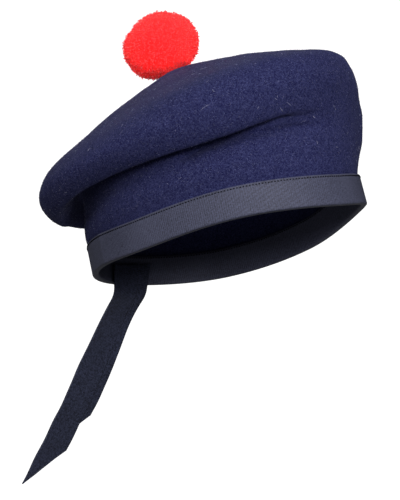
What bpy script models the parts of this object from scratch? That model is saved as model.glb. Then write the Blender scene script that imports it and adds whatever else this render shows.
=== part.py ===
# Balmoral bonnet: a felt crown in a ribbon band, a wool toorie on top and two ribbon tails behind.
# Metres, +Z up, the wearer faces -Y and the wearer's left is +X.
# The origin is the middle of the band's lower opening, where the bonnet sits on a head.
# Bearings go round the hat in degrees: 0 front, 90 the wearer's right, 180 back, 270 the wearer's left.

import math

import bmesh
import bpy
import numpy as np
from mathutils import Matrix, Vector
from mathutils.bvhtree import BVHTree

# Band and felt
BAND_LENGTH = 0.209  # outside, front to back
BAND_WIDTH = 0.171  # outside, side to side
BAND_HEIGHT = 0.021  # of the ribbon folded over the felt's edge
BAND_FLARE = 0.002  # how far the front-left of the band's lower edge stands out
EDGE_WAVE = 0.006  # how far the band's lower edge strays from level
RIBBON_THICK = 0.001
FELT_THICK = 0.002
CLEARANCE = 0.0003  # between pieces that touch

# Crown
CROWN_HEIGHT = 0.130  # the button above the opening, along the hat's own axis
OVERHANG = 0.026  # how far the lobe can stand out beyond the band
BUTTON_RIGHT = 0.0095  # the middle of the top, off the hat's axis
BUTTON_BACK = 0.0105
BAND_LIP = 0.003  # the felt swells out over the band in this height

# Toorie
POMPOM_WIDTH = 0.0515
POMPOM_HEIGHT = 0.045
POMPOM_LEAN = 8.0  # degrees toward the back right
POMPOM_SINK = 0.0015  # how far the wool presses down round the button
LOCK_RISE = 0.002  # of a lock's tip above the head of the pompom
LOCK_GAP = 0.0007  # between two locks at their tips
LOCK_SEED = 11

# Tails
TAIL_WIDTH = 0.025
TAIL_LENGTH = 0.168  # along the right tail's longer edge, from the seam's top
LEFT_TAIL_LENGTH = 0.142
TAIL_CUT = 0.034  # how much shorter the other edge is
TAIL_SEAM = 0.015  # the height sewn against the inside of the band
TAIL_DROP = 0.001  # straight run below the band before the tails swing back
TAIL_BEND = 0.012  # the length in which they swing back
TAIL_FAN = 21.5  # degrees toward the wearer's right
TAIL_RIGHT_EDGE = -0.0165  # the right tail's longer edge at the seam's top, across the back
TAIL_STEP = 0.010  # the left tail lies this far toward the wearer's left
TAIL_SPREAD = 0.0015  # the two tails hang this much further apart at their ends
TAIL_FLAT = 0.060  # below the band the sheet loses the band's roundness in this length
TAIL_WAVE = 0.0008
WAVE_LENGTH = 0.026
WAVE_START = 0.080  # the waves grow from here down

WEAR_TILT = 16.4  # degrees, the bonnet sits back on the head

# Mesh fineness
BEARINGS = 52
TAIL_PITCH = 0.006
TAIL_COLUMNS = 4
CUT_ROWS = 5

# The crown's sections. Distances out from the band are shares of OVERHANG, heights above the
# band's top are shares of the rest of CROWN_HEIGHT, and edge_lift is a share of EDGE_WAVE.
SECTION_COLUMNS = (
    "edge_lift", "flare", "wall_out", "wall_up", "fold_out", "fold_up", "lip_out", "lip_up",
    "rim_out", "rim_up", "shoulder_out", "shoulder_up", "outer_rise", "inner_rise",
)
SECTIONS = {
    0: (-0.33, 0.0, 0.06, 0.16, 0.13, 0.33, 0.27, 0.40, 0.52, 0.58, 0.35, 0.72, 0.050, 0.045),
    45: (-0.22, 0.0, 0.10, 0.12, -0.08, 0.34, 0.35, 0.275, 0.77, 0.43, 0.58, 0.60, 0.040, 0.035),
    90: (-0.40, 0.0, 0.08, 0.09, -0.15, 0.37, 0.41, 0.26, 0.92, 0.36, 0.69, 0.485, 0.037, 0.028),
    135: (0.25, 0.0, -0.02, 0.09, -0.15, 0.37, 0.64, 0.24, 1.00, 0.35, 0.73, 0.495, 0.018, 0.028),
    180: (0.25, 0.0, -0.02, 0.10, -0.08, 0.31, 0.52, 0.23, 1.00, 0.37, 0.69, 0.52, 0.018, 0.028),
    225: (-0.67, 0.0, 0.02, 0.10, 0.00, 0.22, 0.46, 0.23, 0.96, 0.38, 0.69, 0.52, 0.028, 0.028),
    270: (-0.33, 0.0, 0.06, 0.12, 0.04, 0.23, 0.38, 0.27, 0.73, 0.50, 0.54, 0.63, 0.028, 0.028),
    315: (1.00, 1.0, 0.15, 0.15, 0.25, 0.25, 0.38, 0.38, 0.52, 0.60, 0.35, 0.74, 0.045, 0.045),
}

# Where the outer and inner rises of the top lie, as shares of the way from shoulder to button.
OUTER_SHARE = 0.30
INNER_SHARE = 0.65

# How the crown's section is divided between one named place and the next.
SECTION_STEPS = {
    "wall": 2, "fold": 4, "lip": 4, "rim": 5, "shoulder": 4, "outer": 3, "inner": 2, "button": 2,
}

# Where the tails lean back: share of the free length, degrees.
TAIL_LEANS = ((0.0, 32.0), (0.12, 18.0), (0.3, 10.0), (0.5, 15.0), (0.75, 17.0), (1.0, 17.0))


def clear_scene():
    for old in list(bpy.data.objects):
        bpy.data.objects.remove(old, do_unlink=True)


def make_material(name, color, roughness):
    material = bpy.data.materials.new(name)
    material.use_nodes = True
    shader = material.node_tree.nodes["Principled BSDF"]
    shader.inputs["Base Color"].default_value = (*color, 1.0)
    shader.inputs["Roughness"].default_value = roughness
    shader.inputs["Metallic"].default_value = 0.0
    return material


def add_object(name, verts, faces, material, parent=None):
    mesh = bpy.data.meshes.new(name)
    mesh.from_pydata([tuple(vert) for vert in verts], [], [tuple(face) for face in faces])
    mesh.materials.append(material)
    mesh.shade_smooth()
    mesh.set_sharp_from_angle(angle=math.radians(50))
    piece = bpy.data.objects.new(name, mesh)
    piece.parent = parent
    bpy.context.scene.collection.objects.link(piece)
    return piece


def around(values, bearing):
    """The rows' values at any bearing, on a smooth closed curve through the rows."""
    count = len(values)
    place = bearing / 360.0 * count
    row = math.floor(place)
    share = place - row
    before, here, after, beyond = (values[(row + step) % count] for step in (-1, 0, 1, 2))
    bend = 2 * before - 5 * here + 4 * after - beyond
    twist = 3 * (here - after) + beyond - before
    return here + 0.5 * share * (after - before + share * (bend + share * twist))


def section_values(bearing):
    """The named shares of the section table at this bearing."""
    table = np.array([SECTIONS[row] for row in sorted(SECTIONS)])
    return dict(zip(SECTION_COLUMNS, around(table, bearing)))


def outward(bearing):
    angle = math.radians(bearing)
    return np.array([-math.sin(angle), -math.cos(angle), 0.0])


def ring_radius(bearing):
    """The band's outside radius: an oval of BAND_LENGTH by BAND_WIDTH."""
    angle = math.radians(bearing)
    across = math.sin(angle) / (BAND_WIDTH / 2)
    along = math.cos(angle) / (BAND_LENGTH / 2)
    return 1.0 / math.hypot(across, along)


def ring_point(bearing, out, height):
    """A point this far out from the band's outside, at this height above its lower edge's plane."""
    point = outward(bearing) * (ring_radius(bearing) + out)
    point[2] = height
    return point


def band_line(bearing, share, depth):
    """A point up the band's slightly flared wall, this deep under its outside."""
    values = section_values(bearing)
    flare = values["flare"] * BAND_FLARE * (1.0 - 0.5 * share)
    height = values["edge_lift"] * EDGE_WAVE + share * BAND_HEIGHT
    return ring_point(bearing, flare - depth, height)


def curve_through(points, steps):
    """A smooth curve through points[1:-1], each span cut in its number of steps."""
    curve = []
    for index, count in enumerate(steps):
        before, here, after, beyond = points[index:index + 4]
        knots = [0.0]
        for first, second in ((before, here), (here, after), (after, beyond)):
            knots.append(knots[-1] + math.sqrt(np.linalg.norm(second - first)))
        start_knot, here_knot, after_knot, end_knot = knots
        for step in range(count):
            knot = here_knot + (after_knot - here_knot) * step / count

            def mix(first, second, low, high):
                return (first * (high - knot) + second * (knot - low)) / (high - low)

            one = mix(before, here, start_knot, here_knot)
            two = mix(here, after, here_knot, after_knot)
            three = mix(after, beyond, after_knot, end_knot)
            left = mix(one, two, start_knot, after_knot)
            right = mix(two, three, here_knot, end_knot)
            curve.append(mix(left, right, here_knot, after_knot))
    curve.append(points[-2])
    return curve


def eased(share):
    """A share from 0 to 1 that starts and ends gently."""
    share = min(1.0, max(0.0, share))
    return share * share * (3.0 - 2.0 * share)


def button_point():
    return np.array([-BUTTON_RIGHT, BUTTON_BACK, CROWN_HEIGHT])


def section_places(bearing):
    """The named places of the felt's section, from the band's top to the button."""
    values = section_values(bearing)
    rest = CROWN_HEIGHT - BAND_HEIGHT

    def place(name):
        height = BAND_HEIGHT + values[name + "_up"] * rest
        return ring_point(bearing, values[name + "_out"] * OVERHANG, height)

    shoulder = place("shoulder")
    button = button_point()

    def slope(share, rise):
        return shoulder + (button - shoulder) * share + np.array([0.0, 0.0, rise * rest])

    outer = slope(OUTER_SHARE, values["outer_rise"])
    inner = slope(INNER_SHARE, values["inner_rise"])
    return [place("wall"), place("fold"), place("lip"), place("rim"), shoulder, outer, inner, button]


def felt_section(bearing):
    """The felt's outer line: straight inside the band, then swelling, folding and closing over."""
    depth = RIBBON_THICK + CLEARANCE
    hem = depth / BAND_HEIGHT
    low = band_line(bearing, hem, depth)
    middle = band_line(bearing, 0.5, depth)
    top = band_line(bearing, 1.0, depth)
    over = band_line(bearing, 1.0 + BAND_LIP / BAND_HEIGHT, depth * 0.4)
    beyond_button = section_places((bearing + 180.0) % 360.0)[-2]
    points = [middle, top, over] + section_places(bearing) + [beyond_button]
    return [low, middle] + curve_through(points, [1] + list(SECTION_STEPS.values()))


def crown_surfaces():
    """The felt's outer and inner points, a row for each bearing, and the two points at the button."""
    bearings = [360.0 * index / BEARINGS for index in range(BEARINGS)]
    outer = np.array([felt_section(bearing) for bearing in bearings])
    round_way = np.roll(outer, -1, axis=0) - np.roll(outer, 1, axis=0)
    up_way = np.empty_like(outer)
    up_way[:, 1:-1] = outer[:, 2:] - outer[:, :-2]
    up_way[:, 0] = outer[:, 1] - outer[:, 0]
    up_way[:, -1] = outer[:, -1] - outer[:, -2]
    normals = np.cross(up_way, round_way)
    normals[:, -1] = (0.0, 0.0, 1.0)
    for row, bearing in zip(normals, bearings):
        row[:3] = outward(bearing)
    normals /= np.linalg.norm(normals, axis=2)[:, :, None]
    normals[:, -1] = normals[:, -2].mean(axis=0) / np.linalg.norm(normals[:, -2].mean(axis=0))
    inner = outer - normals * FELT_THICK
    return outer, inner


def skin_faces(start, rows, columns, outward_facing):
    """Quads over a closed ring of rows, and a fan to the tip that follows them."""
    faces = []
    tip = start + rows * columns
    for row in range(rows):
        here = start + row * columns
        following = start + (row + 1) % rows * columns
        for column in range(columns - 1):
            face = (here + column, here + column + 1, following + column + 1, following + column)
            faces.append(face)
        faces.append((here + columns - 1, tip, following + columns - 1))
    if outward_facing:
        return faces
    return [face[::-1] for face in faces]


def build_crown(material, parent):
    """Felt body: an outer and an inner skin that meet at the hem and close at the button."""
    outer, inner = crown_surfaces()
    columns = outer.shape[1] - 1
    verts = []
    for skin in (outer, inner):
        verts.extend(skin[:, :-1].reshape(-1, 3))
        verts.append(skin[0, -1])
    inside = BEARINGS * columns + 1
    faces = skin_faces(0, BEARINGS, columns, True) + skin_faces(inside, BEARINGS, columns, False)
    for row in range(BEARINGS):
        here = row * columns
        following = (row + 1) % BEARINGS * columns
        faces.append((here, following, inside + following, inside + here))
    return add_object("crown", verts, faces, material, parent)


def band_outline():
    """The folded ribbon's section as (share of BAND_HEIGHT, depth under the outside)."""
    inner_face = 2 * (RIBBON_THICK + CLEARANCE) + FELT_THICK
    turn = RIBBON_THICK / BAND_HEIGHT
    soft = 0.35 * RIBBON_THICK
    return [
        (0.0, inner_face * 0.30),
        (turn * 0.6, 0.0),
        (1.0 - soft / BAND_HEIGHT, 0.0),
        (1.0, soft),
        (1.0, RIBBON_THICK),
        (turn, RIBBON_THICK),
        (turn, inner_face - RIBBON_THICK),
        (1.0, inner_face - RIBBON_THICK),
        (1.0, inner_face - soft),
        (1.0 - soft / BAND_HEIGHT, inner_face),
        (turn * 0.6, inner_face),
        (0.0, inner_face * 0.70),
    ]


def build_band(material, parent):
    """Ribbon band: one strip of ribbon folded up over both sides of the felt's lower edge."""
    outline = band_outline()
    count = len(outline)
    verts = []
    for index in range(BEARINGS):
        bearing = 360.0 * index / BEARINGS
        verts.extend(band_line(bearing, share, depth) for share, depth in outline)
    faces = []
    for row in range(BEARINGS):
        here = row * count
        following = (row + 1) % BEARINGS * count
        for corner in range(count):
            ahead = (corner + 1) % count
            faces.append((here + corner, here + ahead, following + ahead, following + corner))
    return add_object("band", verts, faces, material, parent)


def build_toorie(material, parent, crown):
    """Pompom: a round head whose faces each rise to a lock, pressed down on the top of the crown."""
    lean = math.radians(POMPOM_LEAN)
    axis = outward(135.0) * math.sin(lean) + np.array([0.0, 0.0, math.cos(lean)])
    half_height = POMPOM_HEIGHT / 2
    centre = button_point() + axis * (half_height - POMPOM_SINK)
    turn = Vector((0.0, 0.0, 1.0)).rotation_difference(Vector(axis)).to_matrix()
    seats = BVHTree.FromPolygons(
        [vert.co.copy() for vert in crown.data.vertices],
        [tuple(face.vertices) for face in crown.data.polygons],
    )
    shape = bmesh.new()
    bmesh.ops.create_icosphere(shape, subdivisions=3, radius=1.0)
    bmesh.ops.inset_individual(shape, faces=shape.faces[:], thickness=LOCK_GAP / POMPOM_WIDTH)
    locks = [face for face in shape.faces if len(face.verts) == 3]
    tips = bmesh.ops.poke(shape, faces=locks)["verts"]
    chance = np.random.default_rng(LOCK_SEED)
    for vert in tips:
        vert.co *= 1.0 + LOCK_RISE / half_height * chance.uniform(0.5, 1.0)
    for vert in shape.verts:
        scaled = Vector((vert.co.x * POMPOM_WIDTH, vert.co.y * POMPOM_WIDTH, vert.co.z * POMPOM_HEIGHT))
        ray = turn @ (scaled / 2)
        hit = seats.ray_cast(Vector(centre), ray.normalized())
        reach = ray.length
        if hit[3] is not None:
            slant = abs(hit[1].dot(ray.normalized()))
            reach = min(reach, hit[3] - CLEARANCE * 2.5 / max(slant, 0.2))
        vert.co = Vector(centre) + ray.normalized() * reach
    bmesh.ops.recalc_face_normals(shape, faces=shape.faces[:])
    mesh = bpy.data.meshes.new("toorie")
    shape.to_mesh(mesh)
    shape.free()
    mesh.materials.append(material)
    toorie = bpy.data.objects.new("toorie", mesh)
    toorie.parent = parent
    bpy.context.scene.collection.objects.link(toorie)
    return toorie


def tail_profile():
    """The tails' common sheet seen from the side: distances down it, and its points across and up."""
    straight = TAIL_SEAM + TAIL_DROP
    steps = 400
    reach = TAIL_LENGTH + TAIL_WIDTH
    shares, leans = zip(*TAIL_LEANS)
    downs = [0.0]
    points = [(0.0, 0.0)]
    for step in range(steps):
        down = (step + 0.5) / steps * reach
        free = max(0.0, down - straight)
        swing = eased(free / TAIL_BEND)
        lean = (1.0 - swing) * -WEAR_TILT + swing * np.interp(free / (reach - straight), shares, leans)
        slope = math.radians(lean)
        back, height = points[-1]
        points.append((back + math.sin(slope) * reach / steps, height - math.cos(slope) * reach / steps))
        downs.append((step + 1) / steps * reach)
    return downs, np.array(points)


def bearing_across(across, depth):
    """The bearing at the back where the band, this deep, is this far across."""
    bearing = 180.0
    for _ in range(4):
        bearing = 180.0 + math.degrees(math.asin(across / (ring_radius(bearing) - depth)))
    return bearing


def tail_depth():
    """How deep under the band's outside the first tail lies: past the band's flat facets too."""
    facet = (BAND_LENGTH / 2) ** 3 * (math.pi / BEARINGS) ** 2 / (2 * (BAND_WIDTH / 2) ** 2)
    return 2 * (RIBBON_THICK + CLEARANCE) + FELT_THICK + CLEARANCE + facet


def tail_point(across, down, profile, tilt):
    """A point of the tails' common sheet, which starts against the band's inner face."""
    downs, points = profile
    depth = tail_depth()
    start = tilt @ ring_point(180.0, -depth, TAIL_SEAM)
    roundness = 1.0 - eased((down - TAIL_SEAM - TAIL_DROP) / TAIL_FLAT)
    if roundness > 0.0:
        curved = tilt @ ring_point(bearing_across(across, depth), -depth, TAIL_SEAM)
        start = curved * roundness + start * (1.0 - roundness)
    wave = TAIL_WAVE * eased((down - WAVE_START) / WAVE_LENGTH)
    back = np.interp(down, downs, points[:, 0]) + wave * math.sin(2 * math.pi * down / WAVE_LENGTH)
    height = np.interp(down, downs, points[:, 1])
    return np.array([across, start[1] + back, start[2] + height])


def tail_downs(length, share):
    """Distances down the sheet: level rows that both tails share, then rows that slant to the end."""
    fan = math.radians(TAIL_FAN)

    def end_at(place):
        return (length - TAIL_CUT * place) * math.cos(fan) + TAIL_WIDTH * place * math.sin(fan)

    straight = TAIL_SEAM + TAIL_DROP
    downs = [0.0, straight / 2, straight]
    downs += [straight + TAIL_BEND * step / 4 for step in range(1, 5)]
    while downs[-1] + TAIL_PITCH < min(end_at(0.0), end_at(1.0)) - TAIL_PITCH:
        downs.append(downs[-1] + TAIL_PITCH)
    last = downs[-1]
    return downs + [last + (end_at(share) - last) * step / CUT_ROWS for step in range(1, CUT_ROWS + 1)]


def tail_grid(first_across, length, tilt):
    """Points of one ribbon on the common sheet, rows down it and columns across it."""
    fan = math.radians(TAIL_FAN)
    profile = tail_profile()
    lines = []
    for column in range(TAIL_COLUMNS + 1):
        share = column / TAIL_COLUMNS
        line = []
        for down in tail_downs(length, share):
            across = first_across - down * math.tan(fan) + TAIL_WIDTH * share / math.cos(fan)
            line.append(tail_point(across, down, profile, tilt))
        lines.append(line)
    return np.array(lines).transpose(1, 0, 2)


def build_tail(name, first_across, length, layer, material, tilt):
    """Ribbon tail: sewn inside the back of the band, swinging back below it, its end cut on a slant."""
    sheet = tail_grid(first_across, length, tilt)
    rows, columns = sheet.shape[:2]
    ways = np.gradient(sheet, axis=0)
    widths = np.gradient(sheet, axis=1)
    normals = np.cross(ways, widths)
    normals /= np.linalg.norm(normals, axis=2)[:, :, None]
    spread = TAIL_SPREAD * np.linspace(0.0, 1.0, rows)[:, None, None]
    face = sheet + normals * layer * (RIBBON_THICK + CLEARANCE + spread)
    verts = list(face.reshape(-1, 3)) + list((face + normals * RIBBON_THICK).reshape(-1, 3))
    side = rows * columns
    faces = []
    for row in range(rows - 1):
        for column in range(columns - 1):
            corner = row * columns + column
            quad = (corner, corner + 1, corner + columns + 1, corner + columns)
            faces.append(quad)
            faces.append(tuple(side + index for index in quad[::-1]))
    rim = list(range(columns))
    rim += [row * columns + columns - 1 for row in range(1, rows)]
    rim += [(rows - 1) * columns + column for column in range(columns - 2, -1, -1)]
    rim += [row * columns for row in range(rows - 2, 0, -1)]
    for index, corner in enumerate(rim):
        ahead = rim[(index + 1) % len(rim)]
        faces.append((ahead, corner, side + corner, side + ahead))
    return add_object(name, verts, faces, material)


def main():
    clear_scene()
    felt = make_material("navy_wool_felt", (0.012, 0.013, 0.045), 0.95)
    ribbon = make_material("black_grosgrain_ribbon", (0.02, 0.02, 0.028), 0.75)
    wool = make_material("red_wool_yarn", (0.80, 0.02, 0.02), 0.95)
    worn = bpy.data.objects.new("wear_tilt", None)
    worn.rotation_euler = (-math.radians(WEAR_TILT), 0.0, 0.0)
    bpy.context.scene.collection.objects.link(worn)
    tilt = np.array(Matrix.Rotation(-math.radians(WEAR_TILT), 3, "X"))
    crown = build_crown(felt, worn)
    build_band(ribbon, worn)
    build_toorie(wool, worn, crown)
    build_tail("tail_left", TAIL_RIGHT_EDGE + TAIL_STEP, LEFT_TAIL_LENGTH, 0, ribbon, tilt)
    build_tail("tail_right", TAIL_RIGHT_EDGE, TAIL_LENGTH, 1, ribbon, tilt)
    bpy.context.view_layer.update()


main()
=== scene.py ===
# A balmoral bonnet dressed for rendering: felt crown, ribbon band, wool toorie and two ribbon tails.
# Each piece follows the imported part's own lines in a finer mesh, and adds fibres, ribs and stitches.
# Metres, the wearer faces -Y. Bearings go round the hat in degrees: 0 front, 90 wearer's right, 180 back.

import math

import bmesh
import bpy
import numpy as np
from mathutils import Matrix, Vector, noise
from mathutils.bvhtree import BVHTree
from mathutils.kdtree import KDTree


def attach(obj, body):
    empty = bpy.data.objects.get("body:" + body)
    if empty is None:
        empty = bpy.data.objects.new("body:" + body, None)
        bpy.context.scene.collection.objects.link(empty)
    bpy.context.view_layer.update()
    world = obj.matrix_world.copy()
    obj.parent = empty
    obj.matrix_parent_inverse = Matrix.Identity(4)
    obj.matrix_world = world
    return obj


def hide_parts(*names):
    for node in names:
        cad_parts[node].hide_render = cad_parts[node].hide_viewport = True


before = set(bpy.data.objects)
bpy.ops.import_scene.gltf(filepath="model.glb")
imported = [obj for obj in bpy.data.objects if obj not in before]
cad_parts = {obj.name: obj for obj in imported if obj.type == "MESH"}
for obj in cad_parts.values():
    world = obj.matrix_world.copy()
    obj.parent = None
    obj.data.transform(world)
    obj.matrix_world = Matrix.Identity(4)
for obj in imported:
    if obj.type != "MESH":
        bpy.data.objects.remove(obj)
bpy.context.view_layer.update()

hat = {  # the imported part's own sizes
    "bandLength": 0.209,  # outside, front to back
    "bandWidth": 0.171,
    "bandHeight": 0.021,
    "bandFlare": 0.002,
    "edgeWave": 0.006,
    "bandLip": 0.003,
    "lipShare": 0.4,  # of the felt's depth in the band, kept just above it
    "crownHeight": 0.130,
    "overhang": 0.026,
    "buttonRight": 0.0095,
    "buttonBack": 0.0105,
    "ribbonThick": 0.001,
    "feltThick": 0.002,
    "clearance": 0.0003,
    "wearTilt": 16.4,  # degrees, the bonnet sits back on the head
}

# The crown's sections, one row for each 45 degrees. Distances out are shares of the overhang, heights
# are shares of the crown above the band.
sectionColumns = (
    "edgeLift", "flare", "wallOut", "wallUp", "foldOut", "foldUp", "lipOut", "lipUp",
    "rimOut", "rimUp", "shoulderOut", "shoulderUp", "outerRise", "innerRise",
)
sections = np.array([
    (-0.33, 0.0, 0.06, 0.16, 0.13, 0.33, 0.27, 0.40, 0.52, 0.58, 0.35, 0.72, 0.050, 0.045),
    (-0.22, 0.0, 0.10, 0.12, -0.08, 0.34, 0.35, 0.275, 0.77, 0.43, 0.58, 0.60, 0.040, 0.035),
    (-0.40, 0.0, 0.08, 0.09, -0.15, 0.37, 0.41, 0.26, 0.92, 0.36, 0.69, 0.485, 0.037, 0.028),
    (0.25, 0.0, -0.02, 0.09, -0.15, 0.37, 0.64, 0.24, 1.00, 0.35, 0.73, 0.495, 0.018, 0.028),
    (0.25, 0.0, -0.02, 0.10, -0.08, 0.31, 0.52, 0.23, 1.00, 0.37, 0.69, 0.52, 0.018, 0.028),
    (-0.67, 0.0, 0.02, 0.10, 0.00, 0.22, 0.46, 0.23, 0.96, 0.38, 0.69, 0.52, 0.028, 0.028),
    (-0.33, 0.0, 0.06, 0.12, 0.04, 0.23, 0.38, 0.27, 0.73, 0.50, 0.54, 0.63, 0.028, 0.028),
    (1.00, 1.0, 0.15, 0.15, 0.25, 0.25, 0.38, 0.38, 0.52, 0.60, 0.35, 0.74, 0.045, 0.045),
])
sectionSteps = (1, 2, 4, 4, 5, 4, 3, 2, 2)  # from the band's middle up to the button
riseShares = (0.30, 0.65)  # where the outer and inner rises of the top lie between shoulder and button


def hexColour(code):  # sRGB hex to the linear values that shaders take
    shares = [int(code[place:place + 2], 16) / 255 for place in (1, 3, 5)]
    linear = [share / 12.92 if share <= 0.04045 else ((share + 0.055) / 1.055) ** 2.4 for share in shares]
    return (*linear, 1.0)


def perMetre(millimetres):  # a pattern's scale from its real size
    return 1000.0 / millimetres


def unit(vectors):
    return vectors / np.linalg.norm(vectors, axis=-1, keepdims=True)


def eased(share):  # 0 to 1 with a gentle start and end
    share = np.clip(share, 0.0, 1.0)
    return share * share * (3.0 - 2.0 * share)


def tilted(points):  # from the hat's own upright frame to the way it is worn
    angle = -math.radians(hat["wearTilt"])
    back = points[..., 1] * math.cos(angle) - points[..., 2] * math.sin(angle)
    height = points[..., 1] * math.sin(angle) + points[..., 2] * math.cos(angle)
    return np.stack([points[..., 0], back, height], axis=-1)


def around(bearings):  # the section table's values at any bearings
    place = bearings / 360.0 * len(sections)
    row = np.floor(place).astype(int)
    share = (place - row)[:, None]
    before, here, after, beyond = (sections[(row + step) % len(sections)] for step in (-1, 0, 1, 2))
    bend = 2 * before - 5 * here + 4 * after - beyond
    twist = 3 * (here - after) + beyond - before
    values = here + 0.5 * share * (after - before + share * (bend + share * twist))
    return dict(zip(sectionColumns, values.T))


def outward(bearings):
    angles = np.radians(bearings)
    return np.stack([-np.sin(angles), -np.cos(angles), np.zeros_like(angles)], axis=-1)


def wayTo(bearing, raised=0.0):  # one direction from its bearing and the degrees that it points up
    flat = outward(np.array([bearing]))[0] * math.cos(math.radians(raised))
    return np.array([flat[0], flat[1], math.sin(math.radians(raised))])


def ringRadius(bearings):
    angles = np.radians(bearings)
    return 1.0 / np.hypot(np.sin(angles) / (hat["bandWidth"] / 2), np.cos(angles) / (hat["bandLength"] / 2))


def ringPoints(bearings, out, height):
    points = outward(bearings) * (ringRadius(bearings) + out)[:, None]
    points[:, 2] = height
    return points


def bandLine(bearings, share, depth):  # this share of the way up the band, this deep under its outside
    values = around(bearings)
    flare = values["flare"] * hat["bandFlare"] * (1.0 - 0.5 * share)
    height = values["edgeLift"] * hat["edgeWave"] + share * hat["bandHeight"]
    return ringPoints(bearings, flare - depth, height)


def bandDepth():  # from the ribbon's outside through the felt to its inside
    return 2 * (hat["ribbonThick"] + hat["clearance"]) + hat["feltThick"]


def buttonPoint():
    return np.array([-hat["buttonRight"], hat["buttonBack"], hat["crownHeight"]])


def between(first, second, low, high, knot):
    return (first * (high - knot) + second * (knot - low)) / (high - low)


def curveThrough(points, steps):  # a smooth curve through the inner points, for all bearings at once
    curve = []
    for index, count in enumerate(steps):
        before, here, after, beyond = points[index:index + 4]
        knots = [np.zeros((len(here), 1))]
        for first, second in ((before, here), (here, after), (after, beyond)):
            knots.append(knots[-1] + np.sqrt(np.linalg.norm(second - first, axis=1, keepdims=True)))
        for step in range(count):
            knot = knots[1] + (knots[2] - knots[1]) * step / count
            one = between(before, here, knots[0], knots[1], knot)
            two = between(here, after, knots[1], knots[2], knot)
            three = between(after, beyond, knots[2], knots[3], knot)
            left = between(one, two, knots[0], knots[2], knot)
            right = between(two, three, knots[1], knots[3], knot)
            curve.append(between(left, right, knots[1], knots[2], knot))
    curve.append(points[-2])
    return curve


def sectionPlaces(bearings):
    values = around(bearings)
    rest = hat["crownHeight"] - hat["bandHeight"]
    places = []
    for name in ("wall", "fold", "lip", "rim", "shoulder"):
        height = hat["bandHeight"] + values[name + "Up"] * rest
        places.append(ringPoints(bearings, values[name + "Out"] * hat["overhang"], height))
    shoulder = places[-1]
    button = buttonPoint()
    for share, rise in zip(riseShares, ("outerRise", "innerRise")):
        lift = np.zeros_like(shoulder)
        lift[:, 2] = values[rise] * rest
        places.append(shoulder + (button - shoulder) * share + lift)
    return places + [np.repeat(button[None], len(bearings), axis=0)]


def feltGrid(bearings, fineness):  # the felt's outer face, a row for each bearing
    depth = hat["ribbonThick"] + hat["clearance"]
    low = bandLine(bearings, depth / hat["bandHeight"], depth)
    middle = bandLine(bearings, 0.5, depth)
    top = bandLine(bearings, 1.0, depth)
    over = bandLine(bearings, 1.0 + hat["bandLip"] / hat["bandHeight"], depth * hat["lipShare"])
    beyondButton = sectionPlaces((bearings + 180.0) % 360.0)[-2]
    points = [middle, top, over] + sectionPlaces(bearings) + [beyondButton]
    steps = [count * fineness for count in sectionSteps]
    return np.stack([low, middle] + curveThrough(points, steps), axis=1)


def gridNormals(grid):  # out of the hat, for rows that go round it
    roundWay = np.roll(grid, -1, axis=0) - np.roll(grid, 1, axis=0)
    return np.cross(np.gradient(grid, axis=1), roundWay)


def gridFaces(rows, columns, closed, start=0):
    row, column = np.meshgrid(np.arange(rows if closed else rows - 1), np.arange(columns - 1), indexing="ij")
    here = start + row * columns + column
    ahead = start + (row + 1) % rows * columns + column
    return np.stack([here, here + 1, ahead + 1, ahead], axis=-1).reshape(-1, 4)


def addPiece(name, points, faces, material):
    mesh = bpy.data.meshes.new(name)
    mesh.from_pydata(np.asarray(points).tolist(), [], [face for group in faces for face in group.tolist()])
    mesh.materials.append(material)
    mesh.shade_smooth()
    piece = bpy.data.objects.new(name, mesh)
    bpy.context.scene.collection.objects.link(piece)
    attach(piece, "root")
    print(name, "has", len(mesh.polygons), "faces")
    return piece


def addShades(piece, name, values):  # a value at each point, for the material to read
    shades = piece.data.attributes.new(name, "FLOAT", "POINT")
    shades.data.foreach_set("value", values.ravel().astype(np.float32))


def addThreads(name, paths, thickMm, sides, material):  # closed and pointed, one along each path
    count, stations = paths.shape[:2]
    ways = unit(np.gradient(paths, axis=1))
    across = unit(np.cross(ways, np.array([0.31, 0.52, 0.79])))  # any way that no thread runs along
    beside = np.cross(ways, across)
    turns = np.arange(sides) / sides * 2 * math.pi
    ring = across[:, 1:-1, None] * np.cos(turns)[:, None] + beside[:, 1:-1, None] * np.sin(turns)[:, None]
    radius = thickMm / 2000
    rings = paths[:, 1:-1, None] + ring * radius
    points = np.concatenate([paths[:, :1], rings.reshape(count, -1, 3), paths[:, -1:]], axis=1)
    each = points.shape[1]
    tip = each - 1
    lastRing = tip - sides
    pattern = []
    for side in range(sides):
        ahead = (side + 1) % sides
        pattern.append((0, 1 + ahead, 1 + side))
        pattern.append((tip, lastRing + side, lastRing + ahead))
        for station in range(stations - 3):
            low = 1 + station * sides
            high = low + sides
            pattern.append((low + side, low + ahead, high + ahead))
            pattern.append((low + side, high + ahead, high + side))
    faces = (np.arange(count)[:, None, None] * each + np.array(pattern)).reshape(-1, 3)
    addPiece(name, tilted(points.reshape(-1, 3)), [faces], material)


def scatter(grid, count, chance):  # random places on a grid that closes round, evenly by area
    ahead = np.roll(grid, -1, axis=0)
    corners = grid[:, :-1], grid[:, 1:], ahead[:, 1:], ahead[:, :-1]
    crosses = np.cross(corners[2] - corners[0], corners[1] - corners[3])
    sizes = np.linalg.norm(crosses, axis=2).ravel()
    picks = chance.choice(sizes.size, count, p=sizes / sizes.sum())
    first, second, third, fourth = (corner.reshape(-1, 3)[picks] for corner in corners)
    along = chance.random((count, 1))
    upward = chance.random((count, 1))
    near = first * (1 - upward) + second * upward
    far = fourth * (1 - upward) + third * upward
    normals = unit(-crosses.reshape(-1, 3)[picks])
    return near * (1 - along) + far * along, normals


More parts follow.
